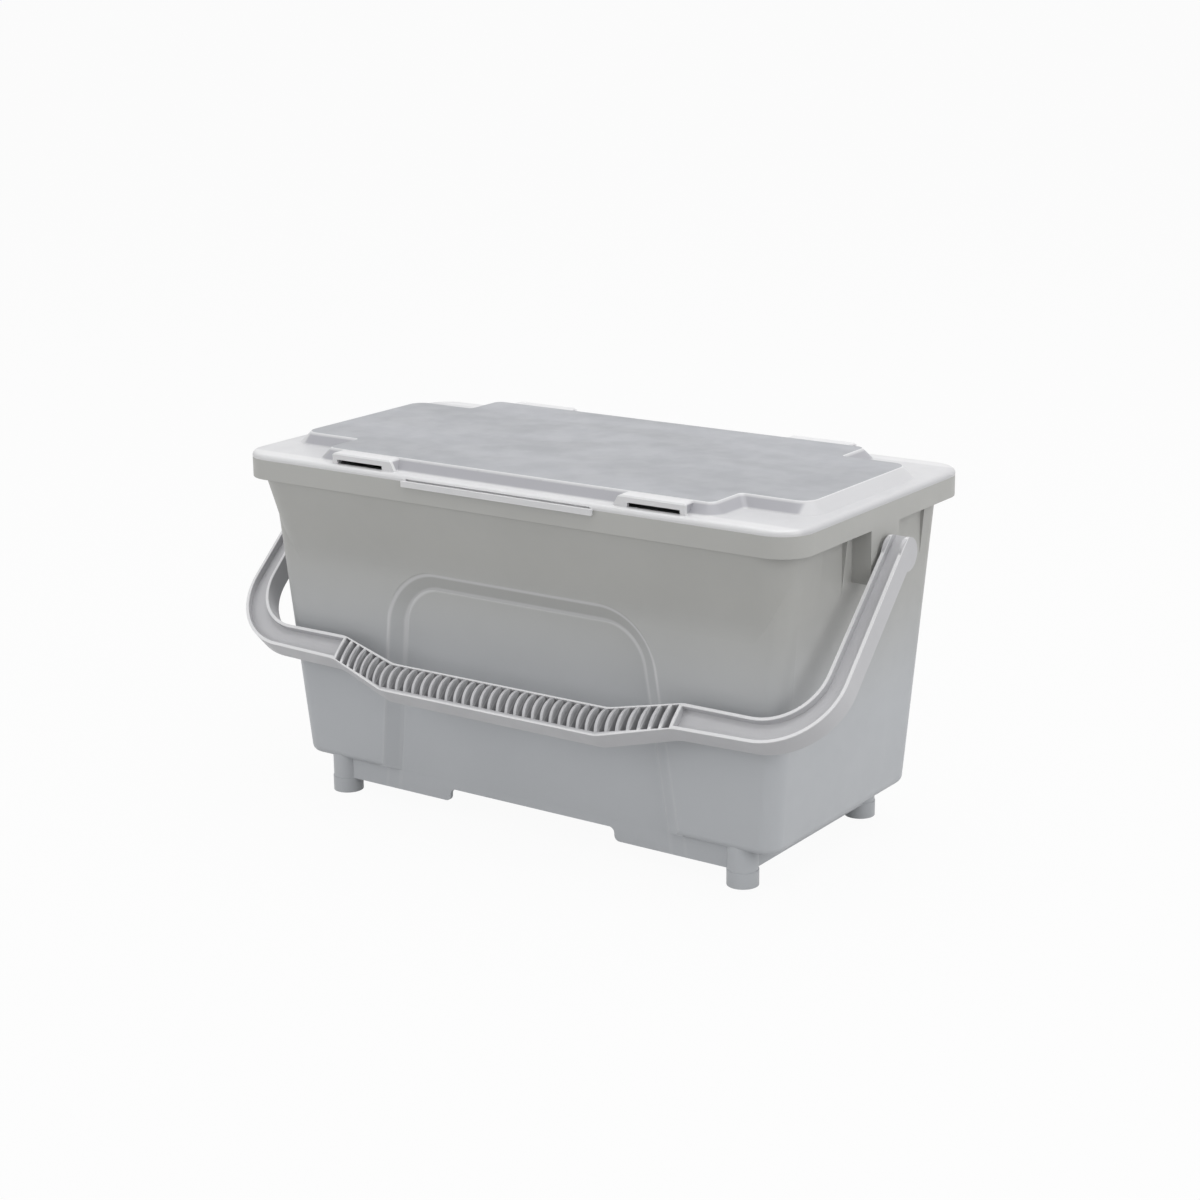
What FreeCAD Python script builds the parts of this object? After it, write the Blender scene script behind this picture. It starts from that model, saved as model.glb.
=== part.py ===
import FreeCAD, Part
import math
import os
from FreeCAD import Placement, Rotation, Vector
import Sketcher

# Window cleaning bucket: tub, lift-off lid and swinging bail.
# Lengths are in millimetres. The origin is the floor point under the tub's centre,
# +X along the length, -Y towards the front, +Z up.

doc = FreeCAD.newDocument("window_cleaning_bucket")
sheet = doc.addObject("Spreadsheet::Sheet", "sizes")

# Every settable size, one named value each.
VALUES = {
    # walls of the tub
    "wall": 3.0,
    "floor_wall": 3.0,
    "body_bottom_height": 30.7,
    "body_half_length": 230.8,
    "body_front_reach": 104.2,
    "body_back_reach": 113.7,
    "end_wall_slope": 0.0903,
    "long_wall_slope": 0.0444,
    "back_wall_slope": 0.02,
    "front_corner_radius": 14.0,
    "back_corner_radius": 20.0,
    "bottom_edge_round": 7.0,
    # flared upper front
    "flare_start_height": 185.0,
    "flare_break_height": 207.0,
    "flare_blend_radius": 62.0,
    "flare_slope": 0.256,
    "flare_corner_radius": 28.0,
    "flare_root_reach": 60.0,
    "flare_top_blend": 20.0,
    # rim
    "rim_half_length": 265.0,
    "rim_half_width": 133.2,
    "rim_corner_radius": 27.0,
    "rim_low_height": 271.9,
    "rim_top_height": 288.3,
    "rim_wall": 3.0,
    # arched recess of the front wall
    "arch_depth": 7.4,
    "arch_side_run": 14.5,
    "arch_top_height": 208.5,
    "arch_top_half": 124.5,
    "arch_leg_slope": 0.127,
    "arch_radius": 46.0,
    "arch_overrun": 4.0,
    # pockets and ribs of the end walls
    "pocket_low_height": 229.0,
    "pocket_front_reach": 70.0,
    "pocket_back_reach": 87.0,
    "end_rib_place": 35.0,
    "end_rib_low_height": 220.0,
    "end_rib": 2.6,
    "end_rib_stand": 1.2,
    # hinge housings
    "pivot_height": 252.0,
    "housing_half_width": 21.5,
    "housing_low_height": 230.0,
    "housing_wall": 3.0,
    "housing_plate": 4.0,
    "bore_clearance": 0.08,
    # skirt under the floor
    "skirt_half_length": 205.0,
    "skirt_half_width": 96.6,
    "skirt_radius": 8.0,
    "skirt_wall": 3.0,
    "skirt_low_height": 12.6,
    "skirt_raised_height": 23.5,
    "skirt_raised_half": 76.0,
    "skirt_step_length": 11.5,
    "skirt_step_radius": 4.9,
    # feet
    "foot_spacing_length": 394.0,
    "foot_spacing_width": 182.0,
    "foot_radius": 12.6,
    "foot_root_step": 0.5,
    # lid
    "lid_wall": 2.5,
    "slope_share": 0.41,
    "lid_edge_height": 4.5,
    "lid_edge_round": 3.2,
    "lid_bead_width": 4.6,
    "plateau_height": 9.2,
    "plateau_run": 9.2,
    "plateau_half_length": 243.0,
    "plateau_half_width": 75.0,
    "plateau_corner_radius": 12.0,
    "centre_half_length": 184.0,
    "centre_half_width": 113.5,
    "centre_corner_radius": 6.5,
    "plateau_inner_round": 6.0,
    "plateau_edge_round": 1.5,
    "pad_inner_place": 104.0,
    "pad_inner_top": 109.5,
    "pad_outer_place": 168.5,
    "pad_reach": 127.0,
    "pad_root": 108.0,
    "pad_height": 8.6,
    "pad_edge_bevel": 1.2,
    "pad_slot_inner": 117.5,
    "pad_slot_outer": 164.0,
    "pad_slot_height": 3.5,
    "lip_half_length": 91.0,
    "lip_low_drop": 3.8,
    "lip_gap": 0.4,
    "lip_thickness": 2.8,
    "lip_ledge": 0.8,
    "lip_groove_height": 1.3,
    "lip_groove_depth": 2.6,
    "locator_clearance": 1.4,
    "locator_drop": 7.0,
    "locator_length": 12.0,
    "locator_rib": 2.5,
    "locator_place_near": 30.0,
    "locator_place_far": 88.0,
    "locator_place_end": 45.0,
    # bail
    "bail_rest_tilt": 43.5,
    "bail_front": 10.7,
    "bail_back": 7.2,
    "bail_web": 3.0,
    "bail_flange": 2.5,
    "channel_depth": 6.0,
    "ear_radius": 13.2,
    "ear_inner_place": 268.6,
    "ear_outer_place": 285.2,
    "arm_inner_place": 269.6,
    "arm_outer_place": 289.8,
    "loop_inner_drop": 161.6,
    "loop_outer_drop": 180.8,
    "loop_inner_radius": 45.0,
    "loop_outer_radius": 60.0,
    "grip_half_length": 165.0,
    "grip_outer_shoulder": 184.0,
    "grip_straight_half": 105.0,
    "grip_inner_drop": 177.4,
    "grip_outer_drop": 203.0,
    "grip_bend_radius": 30.0,
    "rib_pitch": 8.4,
    "rib_thickness": 2.4,
    "crown_height": 6.0,
    "crown_end_height": 0.5,
    "crown_margin": 1.0,
    "crown_root": 2.0,
    "stud_radius": 6.0,
    "stud_collar_radius": 7.2,
    "stud_collar_length": 2.6,
    "stud_collar_gap": 0.6,
    # a common distance by which cutting shapes run past the faces they cut
    "overrun": 2.0,
}
COUNTS = {
    "centre_slots": 25,
    "ramp_slots": 7,
}

row = 0
for alias, value in list(VALUES.items()) + list(COUNTS.items()):
    row += 1
    sheet.set("A%d" % row, alias)
    sheet.set("B%d" % row, str(value))
    sheet.setAlias("B%d" % row, alias)
doc.recompute()


class Size:
    """A number together with the sheet expression that gives it."""

    def __init__(self, value, text):
        self.value = value
        self.text = text

    def _pair(self, other):
        if isinstance(other, Size):
            return other
        return Size(float(other), repr(other))

    def __add__(self, other):
        b = self._pair(other)
        return Size(self.value + b.value, "(%s + %s)" % (self.text, b.text))

    __radd__ = __add__

    def __sub__(self, other):
        b = self._pair(other)
        return Size(self.value - b.value, "(%s - %s)" % (self.text, b.text))

    def __mul__(self, other):
        b = self._pair(other)
        return Size(self.value * b.value, "(%s * %s)" % (self.text, b.text))

    __rmul__ = __mul__

    def __truediv__(self, other):
        b = self._pair(other)
        return Size(self.value / b.value, "(%s / %s)" % (self.text, b.text))

    def __neg__(self):
        return Size(-self.value, "(0 - %s)" % self.text)


class Sizes:
    pass


S = Sizes()
for alias, value in list(VALUES.items()) + list(COUNTS.items()):
    setattr(S, alias, Size(value, "sizes." + alias))

ZERO = Size(0.0, "0")
ONE = Size(1.0, "1")


def number(a):
    return a.value if isinstance(a, Size) else float(a)


def bind(obj, prop, size):
    """Set a property and tie it to the sheet."""
    obj.setExpression(prop, size.text)


# Sketch helpers

def origin_part(body, role):
    for feature in body.Origin.OriginFeatures:
        if feature.Role == role:
            return feature
    raise RuntimeError("no " + role)


def new_sketch(body, name, plane, shift=None, tilt=None, lift=None):
    """A sketch on an origin plane, moved along its normal, tilted about its own x."""
    sk = body.newObject("Sketcher::SketchObject", name)
    sk.AttachmentSupport = [(origin_part(body, plane + "_Plane"), "")]
    sk.MapMode = "FlatFace"
    angle = number(tilt) if tilt is not None else 0
    base = Vector(0, number(lift) if lift is not None else 0, number(shift) if shift is not None else 0)
    sk.AttachmentOffset = Placement(base, Rotation(Vector(1, 0, 0), angle))
    if shift is not None:
        bind(sk, ".AttachmentOffset.Base.z", shift)
    if lift is not None:
        bind(sk, ".AttachmentOffset.Base.y", lift)
    if tilt is not None:
        bind(sk, ".AttachmentOffset.Rotation.Angle", tilt)
    return sk


def dimension(sk, kind, refs, size):
    index = sk.addConstraint(Sketcher.Constraint(kind, *refs, size.value))
    sk.setExpression("Constraints[%d]" % index, size.text)
    return index


def place_point(sk, geo, pos, x, y):
    """Fix a sketch point at x, y from the origin."""
    for kind, axis, size in (("DistanceX", -2, x), ("DistanceY", -1, y)):
        if abs(size.value) < 1e-9:
            sk.addConstraint(Sketcher.Constraint("PointOnObject", geo, pos, axis))
        else:
            dimension(sk, kind, (-1, 1, geo, pos), size)


def outline(sk, corners):
    """A closed outline through corners (x, y, radius or None), rounded where asked."""
    pts = [Vector(c[0].value, c[1].value, 0) for c in corners]
    count = len(pts)
    ends = []
    arcs = []
    for i in range(count):
        here = pts[i]
        before = (pts[i - 1] - here).normalize()
        after = (pts[(i + 1) % count] - here).normalize()
        radius = corners[i][2]
        if radius is None:
            ends.append((here, here))
            arcs.append(None)
            continue
        half = before.getAngle(after) / 2
        cut = radius.value / math.tan(half)
        start = here + before * cut
        stop = here + after * cut
        middle_way = (before + after).normalize()
        centre = here + middle_way * (radius.value / math.sin(half))
        ends.append((start, stop))
        ring = Part.Circle(centre, Vector(0, 0, 1), radius.value)
        first_angle = math.atan2(start.y - centre.y, start.x - centre.x)
        last_angle = math.atan2(stop.y - centre.y, stop.x - centre.x)
        # arcs are stored anticlockwise, so a right-hand turn is stored from its far end
        left_turn = before.cross(after).z < 0
        if left_turn:
            arcs.append((Part.ArcOfCircle(ring, first_angle, last_angle), 1, 2))
        else:
            arcs.append((Part.ArcOfCircle(ring, last_angle, first_angle), 2, 1))
    lines = []
    for i in range(count):
        a = ends[i][1]
        b = ends[(i + 1) % count][0]
        lines.append(sk.addGeometry(Part.LineSegment(a, b), False))
    for i in range(count):
        ahead = lines[i]
        behind = lines[i - 1]
        x, y = corners[i][0], corners[i][1]
        if arcs[i] is None:
            sk.addConstraint(Sketcher.Constraint("Coincident", behind, 2, ahead, 1))
            place_point(sk, ahead, 1, x, y)
            continue
        curve, first, last = arcs[i]
        arc = sk.addGeometry(curve, False)
        sk.addConstraint(Sketcher.Constraint("Tangent", behind, 2, arc, first))
        sk.addConstraint(Sketcher.Constraint("Tangent", arc, last, ahead, 1))
        dimension(sk, "Radius", (arc,), corners[i][2])
        corner = sk.addGeometry(Part.Point(pts[i]), True)
        place_point(sk, corner, 1, x, y)
        sk.addConstraint(Sketcher.Constraint("PointOnObject", corner, 1, behind))
        sk.addConstraint(Sketcher.Constraint("PointOnObject", corner, 1, ahead))


def circle(sk, x, y, radius):
    geo = sk.addGeometry(Part.Circle(Vector(x.value, y.value, 0), Vector(0, 0, 1), radius.value), False)
    dimension(sk, "Radius", (geo,), radius)
    place_point(sk, geo, 3, x, y)


def box(sk, x0, y0, x1, y1, radius=None):
    outline(sk, [(x0, y0, radius), (x1, y0, radius), (x1, y1, radius), (x0, y1, radius)])


def sheet_box(body, name, height, x, front, back, radius):
    """A rounded rectangle in a horizontal plane: half-length x, reaches front and back."""
    sk = new_sketch(body, name, "XY", shift=height)
    box(sk, -x, -front, x, back, radius)
    return sk


# Feature helpers

def pad(body, name, sk, length, both_sides=False, reverse=False):
    feature = body.newObject("PartDesign::Pad", name)
    feature.Profile = sk
    feature.Length = length.value
    bind(feature, "Length", length)
    feature.Midplane = both_sides
    feature.Reversed = reverse
    return settle(feature, sk)


def pocket(body, name, sk, length, both_sides=False, reverse=False):
    feature = body.newObject("PartDesign::Pocket", name)
    feature.Profile = sk
    feature.Length = length.value
    bind(feature, "Length", length)
    feature.Midplane = both_sides
    feature.Reversed = reverse
    return settle(feature, sk)


def loft(body, name, kind, sketches, ruled=True):
    feature = body.newObject("PartDesign::" + kind, name)
    feature.Profile = sketches[0]
    feature.Sections = sketches[1:]
    feature.Ruled = ruled
    return settle(feature, *sketches)


def settle(feature, *sketches):
    doc.recompute()
    for sk in sketches:
        sk.Visibility = False
    if feature.State and "Invalid" in feature.State:
        raise RuntimeError(feature.Name + " is invalid")
    if feature.Shape.isNull():
        raise RuntimeError(feature.Name + " is empty")
    return feature


def dress(body, kind, name, base, edges, size):
    """Round or bevel edges of a feature, found by place."""
    if not edges:
        raise RuntimeError("no edges for " + name)
    feature = body.newObject("PartDesign::" + kind, name)
    feature.Base = (base, edges)
    prop = "Radius" if kind == "Fillet" else "Size"
    setattr(feature, prop, size.value)
    bind(feature, prop, size)
    return settle(feature)


def mirrored(body, name, originals, plane):
    feature = body.newObject("PartDesign::Mirrored", name)
    feature.Originals = originals
    feature.MirrorPlane = (origin_part(body, plane + "_Plane"), [""])
    body.Tip = feature
    return settle(feature)


def edges_where(feature, test):
    return ["Edge%d" % (i + 1) for i, e in enumerate(feature.Shape.Edges) if test(e)]


def flat_at(edge, height, slack=0.01):
    box_of = edge.BoundBox
    return abs(box_of.ZMin - height) < slack and abs(box_of.ZMax - height) < slack


# Tub

tub = doc.addObject("PartDesign::Body", "tub")
tub.Label = "tub"


def wall_line(height, inset):
    """Half-length of the end walls at a height, moved in."""
    return S.body_half_length + S.end_wall_slope * (height - S.body_bottom_height) - inset


def front_line(height, inset):
    """Reach of the front wall below its flare."""
    return S.body_front_reach + S.long_wall_slope * (height - S.body_bottom_height) - inset


def back_line(height, inset):
    """Reach of the back wall."""
    return S.body_back_reach + S.back_wall_slope * (height - S.body_bottom_height) - inset


def both_ends(sk, corners):
    """The same outline at +X and, mirrored, at -X."""
    outline(sk, [(x, y, None) for x, y in corners])
    outline(sk, [(-x, y, None) for x, y in reversed(corners)])


def cut_ends(body, name, low, high, inset):
    """Cut a long block off along the two sloping end walls."""
    sk = new_sketch(body, name + "_outline", "XZ")
    out = S.rim_half_length + S.overrun
    both_ends(sk, [(wall_line(low - S.overrun, inset), low - S.overrun), (out, low - S.overrun),
                   (out, high + S.overrun), (wall_line(high + S.overrun, inset), high + S.overrun)])
    pocket(body, name, sk, (S.rim_half_width + S.overrun) * 2, both_sides=True)


def corner_edges(body, side):
    """The long corner edges of a block at the front (side -1) or at the back (side 1)."""
    return edges_where(body.Tip, lambda e: e.BoundBox.ZLength > S.flare_start_height.value / 2
                       and e.CenterOfMass.y * side > 0 and e.BoundBox.YLength < S.rim_corner_radius.value)


def block(body, name, low, high, inset):
    """The tub's straight drafted walls as a solid, with rounded corners."""
    sk = new_sketch(body, name + "_side", "YZ")
    outline(sk, [(-front_line(low, inset), low, None), (back_line(low, inset), low, None),
                 (back_line(high, inset), high, None), (-front_line(high, inset), high, None)])
    pad(body, name, sk, S.rim_half_length * 2, both_sides=True)
    cut_ends(body, name + "_ends", low, high, inset)
    dress(body, "Fillet", name + "_front_corners", body.Tip, corner_edges(body, -1),
          S.front_corner_radius - inset)
    dress(body, "Fillet", name + "_back_corners", body.Tip, corner_edges(body, 1),
          S.back_corner_radius - inset)


flare_grade = S.long_wall_slope + S.flare_slope


def flare_reach(inset):
    """Reach of the upright band above the flare."""
    return front_line(S.flare_break_height, inset) + flare_grade * (S.rim_low_height - S.flare_break_height)


def flare(name, high, inset):
    """The flared upper front as a body of its own, with wider corners."""
    body = doc.addObject("PartDesign::Body", name)
    low = S.flare_start_height
    sk = new_sketch(body, name + "_side", "YZ")
    reach = flare_reach(inset)
    outline(sk, [(-front_line(low, inset), low, None), (-S.flare_root_reach, low, None),
                 (-S.flare_root_reach, high, None), (-reach, high, None),
                 (-reach, S.rim_low_height, S.flare_top_blend),
                 (-front_line(S.flare_break_height, inset), S.flare_break_height, S.flare_blend_radius)])
    pad(body, name + "_slab", sk, S.rim_half_length * 2, both_sides=True)
    cut_ends(body, name + "_ends", low, high, inset)
    front = edges_where(body.Tip, lambda e: abs(e.CenterOfMass.y) > S.flare_root_reach.value + 1
                        and e.BoundBox.ZLength > 1 and e.BoundBox.XLength < S.rim_half_width.value)
    dress(body, "Fillet", name + "_corners", body.Tip, front, S.flare_corner_radius - inset)
    return body


def join(body, name, other, kind):
    """Fuse another body into this one, or cut it out."""
    feature = body.newObject("PartDesign::Boolean", name)
    feature.setObjects([other])
    feature.Type = kind
    body.Tip = feature
    return settle(feature)


# outside of the walls
block(tub, "walls", S.body_bottom_height, S.rim_top_height, ZERO)
low_edges = edges_where(tub.Tip, lambda e: flat_at(e, S.body_bottom_height.value))
dress(tub, "Fillet", "bottom_edges", tub.Tip, low_edges, S.bottom_edge_round)
join(tub, "flared_front", flare("front_flare", S.rim_top_height, ZERO), "Fuse")

# skirt and feet
skirt_height = S.body_bottom_height + S.floor_wall / 2 - S.skirt_low_height
skirt_sketch = sheet_box(tub, "skirt_outline", S.skirt_low_height, S.skirt_half_length,
                         S.skirt_half_width, S.skirt_half_width, S.skirt_radius)
box(skirt_sketch, -(S.skirt_half_length - S.skirt_wall), -(S.skirt_half_width - S.skirt_wall),
    S.skirt_half_length - S.skirt_wall, S.skirt_half_width - S.skirt_wall, S.skirt_radius - S.skirt_wall)
pad(tub, "skirt", skirt_sketch, skirt_height)

step = new_sketch(tub, "skirt_step_outline", "XZ")
step_low = S.skirt_low_height - S.overrun
slope_half = S.skirt_raised_half + S.skirt_step_length / 2
foot_out = S.skirt_raised_half + S.skirt_step_length * 2
outline(step, [
    (-foot_out, step_low, None), (foot_out, step_low, None),
    (foot_out, S.skirt_low_height, None),
    (slope_half, S.skirt_low_height, S.skirt_step_radius),
    (slope_half, S.skirt_raised_height, S.skirt_step_radius),
    (-slope_half, S.skirt_raised_height, S.skirt_step_radius),
    (-slope_half, S.skirt_low_height, S.skirt_step_radius),
    (-foot_out, S.skirt_low_height, None)])
pocket(tub, "skirt_raised_middle", step, (S.skirt_half_width + S.overrun) * 2, both_sides=True)

feet = new_sketch(tub, "feet_outline", "XY")
for sx in (-1, 1):
    for sy in (-1, 1):
        circle(feet, S.foot_spacing_length * (sx / 2), S.foot_spacing_width * (sy / 2), S.foot_radius)
pad(tub, "feet", feet, S.skirt_low_height)
roots = new_sketch(tub, "foot_roots_outline", "XY", shift=S.skirt_low_height / 2)
for sx in (-1, 1):
    for sy in (-1, 1):
        x, y = S.foot_spacing_length * (sx / 2), S.foot_spacing_width * (sy / 2)
        circle(roots, x, y, S.foot_radius - S.foot_root_step)
root_top = S.body_bottom_height + S.bottom_edge_round
pad(tub, "foot_roots", roots, root_top - S.skirt_low_height / 2)

# inside of the walls
core = doc.addObject("PartDesign::Body", "cavity_form")
cavity_top = S.rim_top_height + S.overrun
block(core, "cavity", S.body_bottom_height + S.floor_wall, cavity_top, S.wall)
join(core, "cavity_flared_front", flare("cavity_flare", cavity_top, S.wall), "Fuse")
join(tub, "hollow", core, "Cut")

# where the end walls have their pockets, the wall stands upright instead of sloping
rim_under = S.rim_top_height - S.rim_wall
pocket_face = wall_line(S.pocket_low_height, ZERO)
pocket_back = pocket_face - S.wall
pocket_width = S.pocket_front_reach + S.pocket_back_reach
pocket_shift = (S.pocket_front_reach - S.pocket_back_reach) / 2
bulge = new_sketch(tub, "end_bulge_outline", "XZ", shift=pocket_shift)
both_ends(bulge, [
    (pocket_back, S.pocket_low_height), (wall_line(S.pocket_low_height, S.wall / 2), S.pocket_low_height),
    (wall_line(S.rim_top_height, S.wall / 2), S.rim_top_height), (pocket_back, S.rim_top_height)])
pad(tub, "end_bulges", bulge, pocket_width + S.wall * 2, both_sides=True)

# rim: a flange with a turned-down edge
rim_plate = sheet_box(tub, "rim_outline", S.rim_top_height - S.rim_wall, S.rim_half_length,
                      S.rim_half_width, S.rim_half_width, S.rim_corner_radius)
x = wall_line(S.rim_top_height, S.wall / 2)
front = flare_reach(S.wall / 2)
back = back_line(S.rim_top_height, S.wall / 2)
outline(rim_plate, [(-x, -front, S.flare_corner_radius - S.wall / 2), (x, -front, S.flare_corner_radius - S.wall / 2),
                    (x, back, S.back_corner_radius - S.wall / 2), (-x, back, S.back_corner_radius - S.wall / 2)])
pad(tub, "rim", rim_plate, S.rim_wall)
rim_edge = sheet_box(tub, "rim_edge_outline", S.rim_low_height, S.rim_half_length,
                     S.rim_half_width, S.rim_half_width, S.rim_corner_radius)
box(rim_edge, -(S.rim_half_length - S.rim_wall), -(S.rim_half_width - S.rim_wall),
    S.rim_half_length - S.rim_wall, S.rim_half_width - S.rim_wall, S.rim_corner_radius - S.rim_wall)
pad(tub, "rim_edge", rim_edge, S.rim_top_height - S.rim_low_height - S.rim_wall / 2)

# arched recess of the front wall


def lean(slope):
    return Size(math.degrees(math.atan(slope.value)), "atan(%s)" % slope.text)


def root_sum(a, b):
    """The long side of a right-angled triangle with short sides a and b."""
    square = a * a + b * b
    return Size(math.sqrt(square.value), "sqrt(%s)" % square.text)


side_grade = S.arch_side_run / S.arch_depth
leg_run = root_sum(ONE, S.arch_leg_slope) - S.arch_leg_slope


def arch(name, depth, grow, low):
    """The arch outline in a plane parallel to the front wall, as far in as the side's slope asks."""
    grow = grow - side_grade * depth
    sk = new_sketch(tub, name, "XZ", shift=S.body_front_reach - depth,
                    tilt=lean(S.long_wall_slope), lift=S.body_bottom_height)
    high = S.arch_top_height - S.body_bottom_height + grow
    top_half = S.arch_top_half + leg_run * grow
    low_half = top_half + S.arch_leg_slope * (high - low)
    radius = S.arch_radius + grow
    outline(sk, [(-low_half, low, None), (low_half, low, None),
                 (top_half, high, radius), (-top_half, high, radius)])
    return sk


# the recess stands inside the tub as a shallow boss of the same wall thickness
side_wall = S.wall * root_sum(ONE, side_grade)
loft(tub, "arch_boss", "AdditiveLoft", [
    arch("arch_boss_front", S.wall / 2, side_wall, S.floor_wall / 2),
    arch("arch_boss_back", S.arch_depth + S.wall, side_wall, S.floor_wall / 2)])
loft(tub, "arch_recess", "SubtractiveLoft", [
    arch("arch_front", -S.arch_overrun, ZERO, ZERO),
    arch("arch_back", S.arch_depth, ZERO, ZERO)])

# pockets of the end walls
hollow = new_sketch(tub, "end_pocket_outline", "XZ", shift=pocket_shift)
pocket_low = S.pocket_low_height - S.overrun
pocket_out = S.rim_half_length - S.rim_wall - S.overrun
both_ends(hollow, [(pocket_face, pocket_low), (pocket_out, pocket_low),
                   (pocket_out, rim_under), (pocket_face, rim_under)])
pocket(tub, "end_pockets", hollow, pocket_width, both_sides=True)

# ribs that divide the pockets
rib = new_sketch(tub, "end_rib_outline", "XZ", shift=S.end_rib_place)
root = pocket_face - S.wall / 2
rib_out = wall_line(S.rim_low_height, -S.end_rib_stand)
rib_top = rim_under + S.rim_wall / 2
both_ends(rib, [(root, S.end_rib_low_height), (wall_line(S.end_rib_low_height, ZERO), S.end_rib_low_height),
                (rib_out, S.rim_low_height), (rib_out, rib_top), (root, rib_top)])
ribs = pad(tub, "end_ribs", rib, S.end_rib, both_sides=True)
mirrored(tub, "end_ribs_back", [ribs], "XZ")

# hinge housings, open from below
housing = new_sketch(tub, "housing_outline", "XZ")
both_ends(housing, [(root, S.housing_low_height), (S.rim_half_length, S.housing_low_height),
                    (S.rim_half_length, rib_top), (root, rib_top)])
pad(tub, "housings", housing, S.housing_half_width * 2, both_sides=True)
core_hole = new_sketch(tub, "housing_core_outline", "XZ")
plate_in = S.rim_half_length - S.housing_plate
core_low = S.housing_low_height - S.overrun
both_ends(core_hole, [(pocket_face, core_low), (plate_in, core_low),
                      (plate_in, rim_under), (pocket_face, rim_under)])
pocket(tub, "housing_cores", core_hole, (S.housing_half_width - S.housing_wall) * 2, both_sides=True)

bore = new_sketch(tub, "bore_outline", "YZ", shift=S.rim_half_length + S.overrun)
circle(bore, ZERO, S.pivot_height, S.stud_radius + S.bore_clearance)
bore_right = pocket(tub, "bore", bore, S.housing_plate + S.overrun * 2)
mirrored(tub, "bore_left", [bore_right], "YZ")

# Lid

lid = doc.addObject("PartDesign::Body", "lid")
lid.Label = "lid"
deck_top = S.rim_top_height + S.lid_edge_height
plateau_top = deck_top + S.plateau_height
deck_under = deck_top - S.lid_wall
edge_sketch = sheet_box(lid, "deck_outline", S.rim_top_height, S.rim_half_length, S.rim_half_width,
                        S.rim_half_width, S.rim_corner_radius)
pad(lid, "deck", edge_sketch, S.lid_edge_height)
top_edges = edges_where(lid.Tip, lambda e: flat_at(e, deck_top.value))
dress(lid, "Fillet", "deck_edges", lid.Tip, top_edges, S.lid_edge_round)

embed = deck_top - S.lid_wall / 2
pad_top = deck_top + S.pad_height

# four pads, their inner ends sloping
pads = new_sketch(lid, "pads_outline", "XZ", shift=S.pad_root)
both_ends(pads, [(S.pad_inner_place, embed), (S.pad_outer_place, embed),
                 (S.pad_outer_place, pad_top), (S.pad_inner_top, pad_top)])
pads_front = pad(lid, "pads", pads, S.pad_reach - S.pad_root)
mirrored(lid, "pads_back", [pads_front], "XZ")
pad_edges = edges_where(lid.Tip, lambda e: flat_at(e, pad_top.value))
dress(lid, "Chamfer", "pad_edges", lid.Tip, pad_edges, S.pad_edge_bevel)


def frustum(name, kind, half_x, half_y, radius, low, high, spread):
    """A sloping-sided block: half sizes at the top plane, spread wider at the bottom plane."""
    rise = high - low
    run = rise * (S.plateau_run / S.plateau_height)
    a = sheet_box(lid, name + "_low", low, half_x + run + spread, half_y + run + spread,
                  half_y + run + spread, radius + run + spread)
    b = sheet_box(lid, name + "_high", high, half_x + spread, half_y + spread, half_y + spread,
                  radius + spread)
    return loft(lid, name, kind, [a, b])


frustum("plateau_long", "AdditiveLoft", S.plateau_half_length, S.plateau_half_width,
        S.plateau_corner_radius, embed, plateau_top, ZERO)
frustum("plateau_centre", "AdditiveLoft", S.centre_half_length, S.centre_half_width,
        S.centre_corner_radius, embed, plateau_top, ZERO)


def inner_corner(e):
    c = e.CenterOfMass
    run = S.plateau_run.value
    return (abs(abs(c.x) - S.centre_half_length.value - run / 2) < run / 2
            and abs(abs(c.y) - S.plateau_half_width.value - run / 2) < run / 2
            and e.BoundBox.ZLength > run / 2)


dress(lid, "Fillet", "plateau_inner_corners", lid.Tip, edges_where(lid.Tip, inner_corner), S.plateau_inner_round)
crest = edges_where(lid.Tip, lambda e: flat_at(e, plateau_top.value))
dress(lid, "Fillet", "plateau_edges", lid.Tip, crest, S.plateau_edge_round)


# underside: the deck and the plateau are one thin wall with a bead round the edge
under = sheet_box(lid, "deck_underside", S.rim_top_height - S.overrun,
                  S.rim_half_length - S.lid_bead_width, S.rim_half_width - S.lid_bead_width,
                  S.rim_half_width - S.lid_bead_width, S.rim_corner_radius - S.lid_bead_width)
pocket(lid, "deck_hollow", under, deck_under - S.rim_top_height + S.overrun, reverse=True)
ceiling = plateau_top - S.lid_wall
skin = -(S.lid_wall * S.slope_share)
frustum("hollow_long", "SubtractiveLoft", S.plateau_half_length, S.plateau_half_width,
        S.plateau_corner_radius, deck_under - S.overrun / 2, ceiling, skin)
frustum("hollow_centre", "SubtractiveLoft", S.centre_half_length, S.centre_half_width,
        S.centre_corner_radius, deck_under - S.overrun / 2, ceiling, skin)
pad_hollow = new_sketch(lid, "pad_hollow_outline", "XY", shift=S.rim_top_height - S.overrun)
for side in (-1, 1):
    for a, b in ((S.pad_inner_top, S.pad_outer_place - S.lid_wall),
                 (S.lid_wall - S.pad_outer_place, -S.pad_inner_top)):
        near, far = (S.pad_root - S.lid_wall) * side, (S.pad_reach - S.lid_wall) * side
        box(pad_hollow, a, near if side > 0 else far, b, far if side > 0 else near)
pocket(lid, "pad_hollows", pad_hollow, pad_top - S.lid_wall - S.rim_top_height + S.overrun, reverse=True)

front_slot = new_sketch(lid, "pad_slot_front", "XZ", shift=S.pad_reach + S.overrun)
for sx in (-1, 1):
    xs = (S.pad_slot_inner, S.pad_slot_outer) if sx > 0 else (-S.pad_slot_outer, -S.pad_slot_inner)
    box(front_slot, xs[0], deck_top, xs[1], deck_top + S.pad_slot_height)
slot_front = pocket(lid, "pad_slots", front_slot, S.lid_wall + S.overrun * 2)
mirrored(lid, "pad_slots_back", [slot_front], "XZ")

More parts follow.
